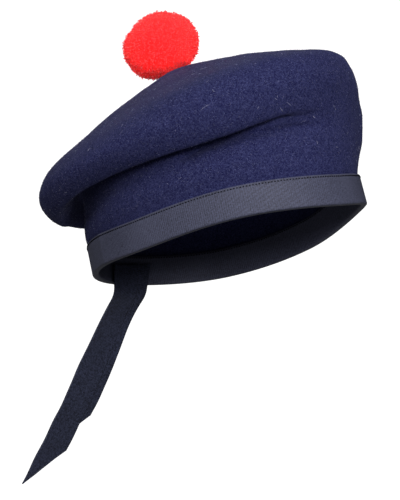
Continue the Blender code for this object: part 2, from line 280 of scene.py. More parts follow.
def addNode(tree, kind, settings, sockets):  # one shader node with its settings, values and links
    node = tree.nodes.new(kind)
    for name, value in settings.items():
        setattr(node, name, value)
    for name, value in sockets.items():
        if isinstance(value, bpy.types.NodeSocket):
            tree.links.new(value, node.inputs[name])
        else:
            node.inputs[name].default_value = value
    return node


def addNoise(tree, sizeMm, detail, roughness, distortion=0.0):  # noise with patches of a real size
    where = addNode(tree, "ShaderNodeTexCoord", {}, {}).outputs["Object"]
    return addNode(tree, "ShaderNodeTexNoise", {}, {
        "Vector": where, "Scale": perMetre(sizeMm), "Detail": detail, "Roughness": roughness,
        "Distortion": distortion}).outputs["Fac"]


def addRange(tree, value, low, high, least=0.0, most=1.0):
    return addNode(tree, "ShaderNodeMapRange", {}, {
        "Value": value, "From Min": low, "From Max": high, "To Min": least, "To Max": most}).outputs[0]


def mixValues(tree, share, first, second):  # the node's sockets 2 and 3 take plain values
    return addNode(tree, "ShaderNodeMix", {"data_type": "FLOAT"}, {0: share, 2: first, 3: second}).outputs[0]


def mixColours(tree, share, first, second):  # its sockets 6 and 7 take colours
    return addNode(tree, "ShaderNodeMix", {"data_type": "RGBA"}, {0: share, 6: first, 7: second}).outputs[2]


def readShade(tree, name):
    return addNode(tree, "ShaderNodeAttribute", {"attribute_name": name}, {}).outputs["Fac"]


def joinShader(tree, shader, colour, height, strength, bumpMm):  # a colour and a bump of a real height
    bump = addNode(tree, "ShaderNodeBump", {}, {
        "Strength": strength, "Distance": bumpMm / 1000, "Height": height})
    tree.links.new(colour, shader.inputs["Base Color"])
    tree.links.new(bump.outputs[0], shader.inputs["Normal"])


def startMaterial(name, values):
    material = bpy.data.materials.new(name)
    material.use_nodes = True
    shader = material.node_tree.nodes["Principled BSDF"]
    for socket, value in values.items():
        shader.inputs[socket].default_value = value
    return material, material.node_tree, shader


# Pressed wool felt, dyed navy: matted fibres with no weave, so the eye sees a dull, mottled, slightly
# hairy face that goes paler only where the fibre tips catch the light, painted here as pale specks.
feltLook = {
    "deep": "#04062c",
    "body": "#2b2e52",
    # tips: the colour of the painted glints on fibre tips
    "tips": "#4d4f72",
    "sheenTint": "#8a8cc0",
    "mottleMm": 6.0,
    "matMm": 1.0,  # real felting is finer, drawn as coarse as it needs to show
    "tipMm": 0.75,
    "matShare": 0.85,  # the rest is the broad mottle
    "deepToBody": (0.39, 0.66),  # levels of the noise, from all deep to all body
    "tipLevels": (0.56, 0.78),
    "tipMost": 0.75,
    "bumpMm": 0.2,
    "bump": 0.8,
    "roughness": 0.95,
    "specular": 0.12,
    "sheen": 0.025,
}


def pressedWoolFelt():
    material, tree, shader = startMaterial("navyPressedWoolFelt", {
        "Roughness": feltLook["roughness"], "IOR": 1.5, "Specular IOR Level": feltLook["specular"],
        "Sheen Weight": feltLook["sheen"], "Sheen Roughness": 0.6,
        "Sheen Tint": hexColour(feltLook["sheenTint"])})
    mottle = addNoise(tree, feltLook["mottleMm"], 3.0, 0.6)
    mat = addNoise(tree, feltLook["matMm"], 2.0, 0.6, 1.0)
    tips = addNoise(tree, feltLook["tipMm"], 2.0, 0.6, 2.0)
    depth = addRange(tree, mixValues(tree, feltLook["matShare"], mottle, mat), *feltLook["deepToBody"])
    ground = mixColours(tree, depth, hexColour(feltLook["deep"]), hexColour(feltLook["body"]))
    # painted glints: pale specks where fibre tips catch the light
    bright = addRange(tree, tips, *feltLook["tipLevels"], 0.0, feltLook["tipMost"])
    colour = mixColours(tree, bright, ground, hexColour(feltLook["tips"]))
    height = addNode(tree, "ShaderNodeMath", {"operation": "ADD"}, {0: mat, 1: tips}).outputs[0]
    joinShader(tree, shader, colour, height, feltLook["bump"], feltLook["bumpMm"])
    return material


# Loose fibres and threads: colour, sheen and shine. They are too thin for a pattern.
fibreLooks = {
    "navyLooseWool": ("#3c3e62", 0.15, 0.3),  # the felt's own nap, paler since light passes through it
    "navyLooseWoolPaintedGlint": ("#5c5f8c", 0.2, 0.4),  # fibre tips with a painted glint, small bright flecks on the felt
    "paleLooseLint": ("#8f90a8", 0.2, 0.5),  # undyed hairs on it, nearly white to the eye
    "scarletYarnEndsPaintedShade": ("#d80e18", 0.2, 0.1),  # the cut yarn's frayed ends, painted deeper than its face as the shade among them
    "scarletLooseWool": ("#ff2824", 0.25, 0.1),  # stray wool, painted paler as if backlit, a bright soft rim on the ball
    "blackSewingThread": ("#08080c", 0.0, 0.05),  # spun thread, dark dashes on the ribbon
}


def looseFibre(name):
    code, sheen, specular = fibreLooks[name]
    return startMaterial(name, {
        "Base Color": hexColour(code), "Roughness": 0.85, "IOR": 1.54,
        "Sheen Weight": sheen, "Specular IOR Level": specular})[0]


# Grosgrain ribbon, woven in black rayon: fine warp over fat weft, so cross ribs, with a painted sheen
# on their crests and painted shade between them. The tails are drawn darker.
bandWeave = {
    # groove: painted shade between the ribs; crest: painted sheen on their tops
    "groove": "#1b1c25",
    "crest": "#46485c",
    "dusty": "#4e5063",
    "threadMm": 0.8,  # real warp threads are about 0.2 mm, drawn coarser so that they show
    "threadLevels": (0.34, 0.66),
    "threadShare": 0.55,  # the rest is the ribs
    "patchMm": 30.0,
    "dustLevels": (0.35, 0.75),
    "dustMost": 0.2,
    "bumpMm": 0.05,
    "bump": 0.7,
    "roughness": 0.62,
    "specular": 0.15,
}
# the same weave as the band, drawn darker
tailWeave = {
    **bandWeave,
    "groove": "#000002",
    "crest": "#33374c",
    "dusty": "#282b3c",
    "threadMm": 1.4,
    "patchMm": 18.0,
}


def wovenGrosgrain(name, weave):
    material, tree, shader = startMaterial(name, {
        "Roughness": weave["roughness"], "IOR": 1.5, "Specular IOR Level": weave["specular"]})
    thread = addNoise(tree, weave["threadMm"], 2.0, 0.6)
    patch = addNoise(tree, weave["patchMm"], 1.0, 0.5)
    sharp = addRange(tree, thread, *weave["threadLevels"])
    # the ribs' painted sheen and shade, mixed with the thread noise
    crest = mixValues(tree, weave["threadShare"], readShade(tree, "paintedRibShading"), sharp)
    woven = mixColours(tree, crest, hexColour(weave["groove"]), hexColour(weave["crest"]))
    dust = addRange(tree, patch, *weave["dustLevels"], 0.0, weave["dustMost"])
    colour = mixColours(tree, dust, woven, hexColour(weave["dusty"]))
    joinShader(tree, shader, colour, thread, weave["bump"], weave["bumpMm"])
    return material


# Cut wool yarn, dyed scarlet: thousands of frayed ends side by side, so a soft grain, with painted shade
# between the ends and a painted highlight on their tips.
yarnLook = {
    # deep: painted shade between the tufts; pale: painted highlight on their tips
    "deep": "#d80a10",
    "body": "#ff1115",
    "pale": "#ff2c2a",
    "sheenTint": "#ff9a90",
    "grainMm": 0.9,
    "grainShare": 0.35,  # the rest is each tuft's own tone and the painted shade between tufts
    "deepToBody": (0.1, 0.5),
    "bodyToPale": (0.6, 1.0),
    "bumpMm": 0.12,
    "bump": 0.8,
    "roughness": 0.9,
    "specular": 0.1,
    "sheen": 0.35,
    "glow": 0.6,
    "glowMm": 8.0,  # how far light wanders between the fibres
    "glowReach": (1.0, 0.15, 0.12),  # red light goes furthest
}


def cutWoolYarn():
    material, tree, shader = startMaterial("scarletCutWoolYarn", {
        "Roughness": yarnLook["roughness"], "IOR": 1.54, "Specular IOR Level": yarnLook["specular"],
        "Sheen Weight": yarnLook["sheen"], "Sheen Roughness": 0.5,
        "Sheen Tint": hexColour(yarnLook["sheenTint"]), "Subsurface Weight": yarnLook["glow"],
        "Subsurface Radius": yarnLook["glowReach"], "Subsurface Scale": yarnLook["glowMm"] / 1000})
    grain = addNoise(tree, yarnLook["grainMm"], 3.0, 0.7)
    mixed = mixValues(tree, yarnLook["grainShare"], readShade(tree, "tuftToneAndPaintedShade"), grain)
    low = addRange(tree, mixed, *yarnLook["deepToBody"])
    high = addRange(tree, mixed, *yarnLook["bodyToPale"])
    ground = mixColours(tree, low, hexColour(yarnLook["deep"]), hexColour(yarnLook["body"]))
    colour = mixColours(tree, high, ground, hexColour(yarnLook["pale"]))
    joinShader(tree, shader, colour, grain, yarnLook["bump"], yarnLook["bumpMm"])
    return material


# Crown: one felt shell, its outside and inside joined at the hem under the band.
crown = {
    "bearings": 360,
    "fineness": 6,
    "innerFineness": 2,
    "broadWaveMm": 46.0,
    "broadRiseMm": 0.9,
    "broadShift": 3.7,  # which stretch of the noise they follow
    "smallWaveMm": 13.0,
    "smallRiseMm": 0.15,
    "smallShift": 11.3,
    "calmNearBand": 0.010,
    "calmAtButton": 0.014,
    "calmNearButton": 0.030,
}

# What handling left in the felt: the rise in mm, how far it reaches above and below its line, and the
# line's points in mm, each with its share of the rise.
feltForms = {
    "foldCrease": (-5.0, 1.4, 5.5, (
        (-80, -38, 48, 0), (-76, -45, 50.5, 0.6), (-71, -55, 53.4, 1.1), (-65, -65, 55.2, 1.3),
        (-59, -74, 55.6, 1), (-51, -82, 56.6, 0.8), (-45, -88, 56.8, 0.5), (-38, -93, 56.6, 0))),
    "foldLip": (1.5, 6.0, 1.8, (
        (-76, -45, 52.6, 0), (-65, -65, 57.8, 0.8), (-59, -74, 58.4, 1), (-43, -90, 59, 1),
        (-24, -101, 59, 0.3), (-14, -105, 59.5, 0))),
    "creaseEnd": (-2.9, 1.9, 4.5, (
        (-52, -82, 51.6, 0), (-43.5, -89.3, 52.2, 0.7), (-39, -92.7, 52.2, 1), (-29.4, -98.6, 52.6, 1),
        (-18.6, -103.3, 52.7, 0.8), (-9.5, -106, 52.7, 0.4), (0, -108.2, 53.2, 0))),
    "topRidge": (1.0, 5.0, 5.0, (
        (-20, -70, 113, 1), (-35, -106, 96, 1), (-16, -117, 86, 1), (8, -116, 79, 1))),
    "frontTop": (0.9, 9.0, 9.0, ((-12, -62, 116, 1), (-10, -77, 113, 1), (-4, -90, 110, 1))),
    "frontCorner": (1.6, 7.0, 7.0, ((10, -104, 106, 0.5), (20, -107, 103, 1), (32, -106, 102, 1))),
    "frontBulge": (2.2, 8.0, 8.0, ((58, -91, 66, 1), (57, -90, 60, 1), (56, -88, 50, 1))),
    "backRidge": (0.6, 6.0, 6.0, ((-88, 18, 85, 1), (-66, 15, 99, 1))),
    "lobeBelly": (-1.6, 9.0, 9.0, ((-46, 109, 47.5, 0), (-37, 113, 47, 1), (-17, 118, 46, 1))),
    "toorieDent": (-1.5, 9.0, 9.0, ((-22, 15, 125, 1), (-15, 2, 129, 1), (-13, -6, 129, 0.5))),
}


def lineRelief(points, form):  # a soft ridge or crease along a line, for points in mm
    rise, above, below, path = form
    path = np.array(path, float)
    nearest = np.full(points.shape[:-1], np.inf)
    relief = np.zeros(points.shape[:-1])
    for start, end in zip(path[:-1], path[1:]):
        run = end[:3] - start[:3]
        share = np.clip(((points - start[:3]) @ run) / (run @ run), 0.0, 1.0)
        offset = points - start[:3] - share[..., None] * run
        distance = np.linalg.norm(offset, axis=-1)
        reach = np.where(offset[..., 2] > 0, above, below)
        value = rise * (start[3] + share * (end[3] - start[3])) * np.exp(-(distance / reach) ** 2)
        closer = distance < nearest
        relief = np.where(closer, value, relief)
        nearest = np.where(closer, distance, nearest)
    return relief


def wavesAt(points, waveMm, shift):
    flat = points.reshape(-1, 3) * perMetre(waveMm) + shift
    return np.array([noise.noise(Vector(place)) for place in flat]).reshape(points.shape[:-1])


def feltRise(grid):  # how far the felt's face stands off its plain section, in metres
    rise = crown["broadRiseMm"] * wavesAt(grid, crown["broadWaveMm"], crown["broadShift"])
    rise += crown["smallRiseMm"] * wavesAt(grid, crown["smallWaveMm"], crown["smallShift"])
    fromButton = np.linalg.norm(grid - buttonPoint(), axis=-1)
    rise *= eased((fromButton - crown["calmAtButton"]) / crown["calmNearButton"])
    for form in feltForms.values():
        rise += lineRelief(grid * 1000, form)
    calm = eased((grid[..., 2] - hat["bandHeight"] - hat["bandLip"]) / crown["calmNearBand"])
    return rise * calm / 1000


def crownSkins():  # the felt's outside and inside faces
    bearings = np.arange(crown["bearings"]) * 360.0 / crown["bearings"]
    skins = []
    for fineness, depth in ((crown["fineness"], 0.0), (crown["innerFineness"], hat["feltThick"])):
        grid = feltGrid(bearings, fineness)
        normals = gridNormals(grid)
        normals[:, :3] = outward(bearings)[:, None]
        normals[:, -1] = (0.0, 0.0, 1.0)
        normals = unit(normals)
        skins.append(grid + normals * (feltRise(grid) - depth)[..., None])
    return skins


def buildCrown(skins, material):
    points = []
    faces = []
    start = 0
    hems = []
    for skin, facesOut in zip(skins, (True, False)):
        rows, columns = skin.shape[0], skin.shape[1] - 1
        points.append(skin[:, :-1].reshape(-1, 3))
        points.append(skin[:1, -1])
        quads = gridFaces(rows, columns, True, start)
        hem = start + np.arange(rows) * columns
        button = start + rows * columns
        upper = hem + columns - 1
        tips = np.stack([upper, np.full(rows, button), np.roll(upper, -1)], axis=1)
        faces += [quads, tips] if facesOut else [quads[:, ::-1], tips[:, ::-1]]
        hems.append(hem)
        start = button + 1
    outside, inside = hems
    faces.append(np.stack([outside, np.roll(outside, -1), np.roll(inside, -1), inside], axis=1))
    piece = addPiece("crownFelt", tilted(np.concatenate(points)), faces, material)
    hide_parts("crown")


# Nap: loose fibre ends over the outside of the felt, and paler lint that has settled on it.
nap = {
    "count": 12000,
    "shortMm": 0.8,
    "longMm": 2.4,
    "thickMm": 0.13,
    "leastLift": 0.1,
    "lift": 0.45,
    "bend": 0.8,
    "sunk": 0.00005,
    "firstRow": 12,  # those before it lie under the band
    "seed": 5,
}
# flecks: fibre tips coloured as painted glints
flecks = {**nap, "count": 3000, "shortMm": 0.5, "longMm": 1.3, "thickMm": 0.2, "lift": 0.2, "seed": 14}
lint = {
    "count": 110,
    "shortMm": 1.0,
    "longMm": 3.2,
    "thickMm": 0.15,
    "curl": 1.2,
    "stations": 6,
    "firstRow": 14,
    "seed": 9,
}
lintHairs = (  # the longer hairs: start, middle and end in mm in the hat's own frame
    ((-84.2, -75.8, 68.7), (-82.4, -78.3, 71.0), (-79.8, -81.5, 71.7)),
    ((-55.8, -99.0, 63.5), (-55.4, -99.8, 64.3), (-54.6, -100.6, 65.1)),
    ((-40.2, -105.2, 63.2), (-38.7, -104.8, 62.0), (-36.9, -104.1, 60.6)),
    ((-36.1, -108.1, 66.1), (-33.9, -108.1, 65.2), (-32.0, -107.8, 64.0)),
    ((6.0, -105.5, 37.6), (7.5, -105.4, 37.7), (9.5, -105.2, 37.4)),
    ((-50.0, -52.0, 112.0), (-48.5, -54.0, 112.3), (-46.5, -56.0, 112.0)),
)


def buildNap(name, fibres, grid, material):
    chance = np.random.default_rng(fibres["seed"])
    places, normals = scatter(grid[:, fibres["firstRow"]:], fibres["count"], chance)
    single = (len(places), 1)
    sideways = unit(np.cross(normals, chance.normal(size=places.shape)))
    lengths = chance.uniform(fibres["shortMm"], fibres["longMm"], single) / 1000
    lift = chance.uniform(fibres["leastLift"], fibres["lift"], single)
    bend = chance.uniform(-fibres["bend"], fibres["bend"], single)
    bent = unit(sideways + np.cross(normals, sideways) * bend)
    roots = places - normals * fibres["sunk"]
    middles = roots + (sideways + normals * lift) * lengths * 0.5
    ends = middles + (bent + normals * lift * 0.5) * lengths * 0.5
    addThreads(name, np.stack([roots, middles, ends], axis=1), fibres["thickMm"], 3, material)


def buildLint(grid, seats, material):
    chance = np.random.default_rng(lint["seed"])
    places, normals = scatter(grid[:, lint["firstRow"]:], lint["count"], chance)
    sideways = unit(np.cross(normals, chance.normal(size=places.shape)))
    curls = np.cross(normals, sideways) * chance.uniform(-lint["curl"], lint["curl"], (len(places), 1))
    lengths = chance.uniform(lint["shortMm"], lint["longMm"], (len(places), 1)) / 1000
    steps = np.linspace(-0.5, 0.5, lint["stations"])
    curves = [places + (sideways * step + curls * (step * step - 0.1)) * lengths for step in steps]
    paths = list(np.stack(curves, axis=1))
    shares = np.linspace(0.0, 1.0, lint["stations"])[:, None]
    for start, middle, end in np.array(lintHairs) / 1000:
        paths.append((1 - shares) ** 2 * start + 2 * shares * (1 - shares) * middle + shares ** 2 * end)
    laid = np.array(paths)
    for path in laid:
        for index, place in enumerate(path):
            spot, normal, _, _ = seats.find_nearest(Vector(place))
            path[index] = spot + normal * lint["thickMm"] / 2000
    addThreads("feltLint", laid, lint["thickMm"], 4, material)


# Band: one ribbon folded up over both sides of the felt's lower edge, sewn near its top edges.
band = {
    "stations": 1700,
    "ribMm": 1.5,  # real ribs are about 0.9 mm apart, drawn coarser so that they show
    "ribRiseMm": 0.04,
    "pullMm": 2.6,  # the sewing drags the ribbon into faint slanting lines on the wearer's right
    "pullSlant": 24.0,
    "pullRiseMm": 0.05,
    "pulled": (28.0, 26.0),  # the bearing where they are strongest and how far they reach
    "selvedgeMm": 0.9,
    "selvedgeRiseMm": 0.12,
    "stitchPitchMm": 2.1,
    "stitchDropMm": 1.45,
    "stitchLongMm": 1.05,
    "stitchThickMm": 0.75,
    "stitchArchMm": 0.6,
    "stitchSunkMm": 0.1,
    "stitchDentMm": 0.35,
    "dentWideMm": 0.6,
    "dentLeast": 0.4,  # of the dent between two stitches
    "cornerBearing": 118.0,  # the ribbon turns sharply here, where the head's side meets its back
    "cornerRiseMm": 1.1,
    "cornerWide": 7.0,
    "foldRound": ((0.0, 0.33), (0.18, 0.14), (0.6, 0.03)),  # shares of its height and depth
    "outerRows": 29,
    "innerRows": 10,
}


def bandOutline():  # the folded ribbon's section: height share, depth and facing, from outside to inside
    inner = bandDepth()
    thick = hat["ribbonThick"]
    turn = thick / hat["bandHeight"]
    soft = 0.35 * thick  # the rounding of the ribbon's edges
    top = 1.0 - soft / hat["bandHeight"]
    lining = [(1.0, soft), (1.0, thick * 0.7), (top, thick), (0.5, thick), (turn, thick)]
    outline = [(0.0, inner * 0.5, 0)]
    outline += [(turn * up, inner * deep, 0) for up, deep in band["foldRound"]]
    outline += [(share, 0.0, 1) for share in np.linspace(turn * 1.2, top, band["outerRows"])]
    outline += [(share, depth, 0) for share, depth in lining]
    outline += [(share, inner - depth, 0) for share, depth in reversed(lining)]
    outline += [(share, inner, -1) for share in np.linspace(top, turn * 1.2, band["innerRows"])]
    outline += [(turn * up, inner * (1 - deep), 0) for up, deep in reversed(band["foldRound"])]
    return outline


def ribbonRun():  # bearings round the band from the back, and the way along its top edge in mm
    bearings = np.linspace(180.0, 540.0, band["stations"] + 1)
    line = bandLine(bearings, 1.0, 0.0)
    steps = np.linalg.norm(np.diff(line, axis=0), axis=1)
    return bearings, np.concatenate([[0.0], np.cumsum(steps)]) * 1000


def bearingGap(bearings, middle):
    return (bearings - middle + 180.0) % 360.0 - 180.0


def cornerAt(bearings):
    return np.exp(-np.abs(bearingGap(bearings, band["cornerBearing"])) / band["cornerWide"])


def buildBand(material):
    outline = bandOutline()
    count = band["stations"]
    bearings, run = ribbonRun()
    ribCount = round(run[-1] / band["ribMm"])
    stitchCount = round(run[-1] / band["stitchPitchMm"])
    ribs = 0.5 + 0.5 * np.cos(run / run[-1] * ribCount * 2 * math.pi)[:-1]
    sewn = np.sin(run / run[-1] * stitchCount * math.pi)[:-1] ** 4
    run = run[:-1]
    bearings = bearings[:-1]
    middle, reach = band["pulled"]
    strength = np.exp(-(bearingGap(bearings, middle) / reach) ** 2)
    corner = cornerAt(bearings)
    slant = math.radians(band["pullSlant"])
    rings = []
    shades = []
    for share, depth, facing in outline:
        height = share * hat["bandHeight"] * 1000
        fromTop = hat["bandHeight"] * 1000 - height
        pull = np.sin((run * math.sin(slant) + height * math.cos(slant)) / band["pullMm"] * 2 * math.pi)
        out = band["ribRiseMm"] * ribs + band["pullRiseMm"] * strength * pull
        out = out + band["selvedgeRiseMm"] * math.exp(-(fromTop / band["selvedgeMm"]) ** 2)
        dent = math.exp(-((fromTop - band["stitchDropMm"]) / band["dentWideMm"]) ** 2)
        out = out - band["stitchDentMm"] * dent * (band["dentLeast"] + (1 - band["dentLeast"]) * sewn)
        cornerShare = 1.0 if depth < bandDepth() / 2 else 0.0  # the corner is on the outside alone
        out = out * facing + band["cornerRiseMm"] * corner * cornerShare
        rings.append(bandLine(bearings, share, depth - out / 1000))
        # painted sheen on the rib crests and on the drag lines' tops, painted shade between them
        shade = ribs * (1 - 0.5 * strength) + (0.5 + 0.5 * pull) * 0.5 * strength
        shades.append(shade * eased((height - 0.1) / 0.5))  # painted shade at the fold
    points = np.stack(rings, axis=1).reshape(-1, 3)
    columns = len(outline)
    quads = gridFaces(count, columns, True)
    here = np.arange(count) * columns
    following = np.roll(here, -1)
    closing = np.stack([here + columns - 1, here, following, following + columns - 1], axis=1)
    piece = addPiece("bandRibbon", tilted(points), [quads, closing], material)
    addShades(piece, "paintedRibShading", np.stack(shades, axis=1))
    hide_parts("band")


def buildBandStitches(material):
    bearings, run = ribbonRun()
    count = round(run[-1] / band["stitchPitchMm"])
    share = 1.0 - band["stitchDropMm"] / 1000 / hat["bandHeight"]
    sunk = (band["stitchDentMm"] - 0.5 * band["stitchThickMm"] + band["stitchSunkMm"]) / 1000
    rows = []
    for depth, facing in ((0.0, 1.0), (bandDepth(), -1.0)):
        stations = []
        for offset in (-0.5, -0.4, 0.0, 0.4, 0.5):  # blunt ends, dipping into the ribbon
            turns = (np.arange(count) + 0.5) / count * run[-1] + offset * band["stitchLongMm"]
            places = np.interp(turns, run, bearings)
            raised = band["cornerRiseMm"] / 1000 * cornerAt(places) * (1.0 if facing > 0 else 0.0)
            arch = (0.25 - offset * offset) * band["stitchArchMm"] / 1000
            stations.append(bandLine(places, share, depth + facing * (sunk - arch) - raised))
        rows.append(np.stack(stations, axis=1))
    addThreads("bandStitches", np.concatenate(rows), band["stitchThickMm"], 6, material)


# Toorie: a ball of cut yarn, each end a tuft of its own, pressed down on the crown.
toorie = {
    "width": 0.0515,
    "height": 0.045,
    "lean": 8.0,
    "leanBearing": 135.0,
    "sink": 0.0015,
    "fineness": 7,  # each step makes four faces of one
    "tufts": 3600,
    "tuftStray": 0.012,
    "rootStray": 0.0002,
    "tuftGapMm": 0.55,  # how deep the dark between two tufts is
    "tuftRoundMm": 0.9,
    "proudMm": -0.5,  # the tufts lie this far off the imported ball, and the frayed ends reach past it
    "waistMm": 0.7,
    "unevenMm": 0.7,
    "lumpMm": 0.9,
    "lumpSizes": (2.4, 5.5),  # broad and small ones, counted along a radius
    "lumpShift": 4.0,
    "trimmed": (  # bearing, degrees up, mm off or on, degrees wide
        (137.0, 42.0, -2.3, 34.0), (317.0, 62.0, -0.8, 28.0), (317.0, -10.0, 0.9, 40.0),
        (40.0, -42.0, 3.2, 32.0), (140.0, -50.0, 1.8, 28.0),
    ),
    "seed": 21,
}
yarnEnds = {"count": 3000, "longMm": 2.9, "thickMm": 0.75, "splay": 0.25, "sides": 5}
looseFuzz = {"count": 6000, "longMm": 1.9, "thickMm": 0.12, "splay": 0.6, "sides": 3}


def toorieRays(directions, seats):  # how far the ball reaches, and where the felt stops it
    lean = math.radians(toorie["lean"])
    axis = wayTo(toorie["leanBearing"]) * math.sin(lean) + np.array([0.0, 0.0, math.cos(lean)])
    centre = buttonPoint() + axis * (toorie["height"] / 2 - toorie["sink"])
    turn = np.array(Vector((0.0, 0.0, 1.0)).rotation_difference(Vector(axis)).to_matrix())
    rays = directions * np.array([toorie["width"], toorie["width"], toorie["height"]]) / 2 @ turn.T
    reach = np.linalg.norm(rays, axis=1)
    ways = unit(rays)
    room = np.full(len(rays), np.inf)
    for index, way in enumerate(ways):
        distance = seats.ray_cast(Vector(centre), Vector(way))[3]
        if distance is not None:
            room[index] = distance - hat["clearance"]
    return centre, ways, reach, room


def evenWays(count, chance):  # directions spread evenly, each a little off its place
    order = np.arange(count) + 0.5
    height = 1 - 2 * order / count
    turns = order * math.pi * (3 - math.sqrt(5))
    flat = np.sqrt(1 - height * height)
    ways = np.stack([flat * np.cos(turns), flat * np.sin(turns), height], axis=1)
    return unit(ways + chance.normal(size=ways.shape) * toorie["tuftStray"])


def lumpsAlong(ways, size):
    return np.array([noise.noise(Vector(way * size + toorie["lumpShift"])) for way in ways])


def buildToorieFibres(name, fibres, chance, tips, ways, free, material):  # they stand out of the ball
    picks = chance.integers(0, len(ways), fibres["count"])
    picks = picks[free[picks]]
    shape = (len(picks), 3)
    thick = fibres["thickMm"]
    splay = fibres["splay"]
    roots = tips[picks] - ways[picks] * thick / 800 + chance.normal(size=shape) * toorie["rootStray"]
    stray = unit(ways[picks] + chance.normal(size=shape) * splay)
    long = chance.uniform(0.3, 1.0, (len(picks), 1)) * fibres["longMm"] / 1000
    bent = unit(stray + chance.normal(size=shape) * splay * 0.8)
    halfway = roots + stray * long * 0.5
    blunt = halfway + bent * long * 0.38  # still full thick near its end
    paths = np.stack([roots, halfway, blunt, halfway + bent * long * 0.5], axis=1)
    addThreads(name, paths, thick, fibres["sides"], material)


def buildToorie(seats, material, endMaterial, fuzzMaterial):
    chance = np.random.default_rng(toorie["seed"])
    tuftWays = evenWays(toorie["tufts"], chance)
    finder = KDTree(len(tuftWays))
    for index, way in enumerate(tuftWays):
        finder.insert(way, index)
    finder.balance()
    ball = bmesh.new()
    bmesh.ops.create_icosphere(ball, subdivisions=toorie["fineness"], radius=1.0)
    directions = unit(np.array([vertex.co for vertex in ball.verts]))
    faces = np.array([[vertex.index for vertex in face.verts] for face in ball.faces])
    ball.free()
    near = [finder.find_n(way, 2) for way in directions]
    owner = np.array([pair[0][1] for pair in near])
    radiusMm = toorie["width"] * 1000 / 2
    gap = np.array([pair[1][2] - pair[0][2] for pair in near]) * radiusMm
    dome = eased(gap / toorie["tuftRoundMm"])
    tuftRise = chance.uniform(-0.5, 0.5, len(tuftWays))
    centre, ways, reach, room = toorieRays(directions, seats)
    rise = toorie["proudMm"] + toorie["waistMm"] * (1 - ways[:, 2] ** 2)
    for size, share in zip(toorie["lumpSizes"], (1.0, 0.5)):
        rise += share * toorie["lumpMm"] * lumpsAlong(ways, size)
    for bearing, raised, height, wide in toorie["trimmed"]:
        off = np.degrees(np.arccos(np.clip(ways @ wayTo(bearing, raised), -1, 1)))
        rise += height * np.exp(-(off / wide) ** 2)
    rise += toorie["unevenMm"] * tuftRise[owner] * dome - toorie["tuftGapMm"] * (1 - dome)
    reach = reach + rise / 1000
    tips = centre + ways * np.minimum(reach, room)[:, None]
    piece = addPiece("toorieYarn", tilted(tips), [faces], material)
    # painted shade between the tufts, where dome falls to nothing, over a random tone for each tuft
    addShades(piece, "tuftToneAndPaintedShade", np.clip(0.25 + 0.5 * dome + 0.5 * tuftRise[owner], 0, 1))
    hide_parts("toorie")
    free = reach < room  # no fibre stands out where the felt presses the ball flat
    buildToorieFibres("toorieEnds", yarnEnds, chance, tips, ways, free, endMaterial)
    buildToorieFibres("toorieFuzz", looseFuzz, chance, tips, ways, free, fuzzMaterial)


# Tails: two ribbons on one common sheet, sewn inside the back of the band.
tails = {
    "width": 0.025,
    "rightLength": 0.168,
    "leftLength": 0.142,
    "cut": 0.034,
    "seam": 0.015,
    "drop": 0.001,
    "bend": 0.012,
    "fan": 21.5,  # degrees
    "rightEdge": -0.0165,
    "step": 0.010,
    "spread": 0.0015,
    "flat": 0.060,
    "wave": 0.0003,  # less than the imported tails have, since the photographed edge runs straighter
    "waveLength": 0.026,
    "waveStart": 0.080,
    "leans": ((0.0, 38.0), (0.08, 21.0), (0.2, 7.0), (0.32, 9.0), (0.5, 17.0)),  # share of the way, degrees
    "columns": 26,
    "ribMm": 1.5,  # as on the band
    "stationsPerRib": 5,
    "ribRiseMm": 0.08,
    "selvedgeMm": 0.7,
    "selvedgeRiseMm": 0.08,
    "thickShare": 0.8,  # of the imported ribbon, since ribs stand on both faces
    "profileSteps": 400,
    "facetBearings": 52,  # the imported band's facets, which the tails clear
}


def tailProfile():  # the sheet seen from the side: distances down it, and its way back and down
    straight = tails["seam"] + tails["drop"]
    reach = tails["rightLength"] + tails["width"]
    steps = tails["profileSteps"]
    downs = (np.arange(steps) + 0.5) / steps * reach
    free = np.maximum(0.0, downs - straight)
    swing = eased(free / tails["bend"])
    shares, leans = zip(*tails["leans"])
    leanAt = np.interp(free / (reach - straight), shares, leans)
    slopes = np.radians((1 - swing) * -hat["wearTilt"] + swing * leanAt)
    back = np.concatenate([[0.0], np.cumsum(np.sin(slopes))]) * reach / steps
    height = -np.concatenate([[0.0], np.cumsum(np.cos(slopes))]) * reach / steps
    return np.linspace(0.0, reach, steps + 1), back, height


def tailSheet(across, down, profile):  # points of the common sheet, in the worn frame
    halfLength, halfWidth = hat["bandLength"] / 2, hat["bandWidth"] / 2
    facet = halfLength ** 3 * (math.pi / tails["facetBearings"]) ** 2 / (2 * halfWidth ** 2)
    depth = bandDepth() + hat["clearance"] + facet
    bearings = np.full(across.shape, 180.0)
    for _ in range(4):  # each turn comes closer to the bearing that is this far across
        sine = np.clip(across / (ringRadius(bearings) - depth), -0.95, 0.95)
        bearings = 180.0 + np.degrees(np.arcsin(sine))
    curved = tilted(ringPoints(bearings, np.full(len(bearings), -depth), tails["seam"]))
    flat = tilted(ringPoints(np.array([180.0]), np.array([-depth]), tails["seam"]))[0]
    level = eased((down - tails["seam"] - tails["drop"]) / tails["flat"])[:, None]
    start = curved * (1 - level) + flat * level
    downs, back, height = profile
    wave = tails["wave"] * eased((down - tails["waveStart"]) / tails["waveLength"])
    backAt = np.interp(down, downs, back) + wave * np.sin(2 * math.pi * down / tails["waveLength"])
    return np.stack([across, start[:, 1] + backAt, start[:, 2] + np.interp(down, downs, height)], axis=1)


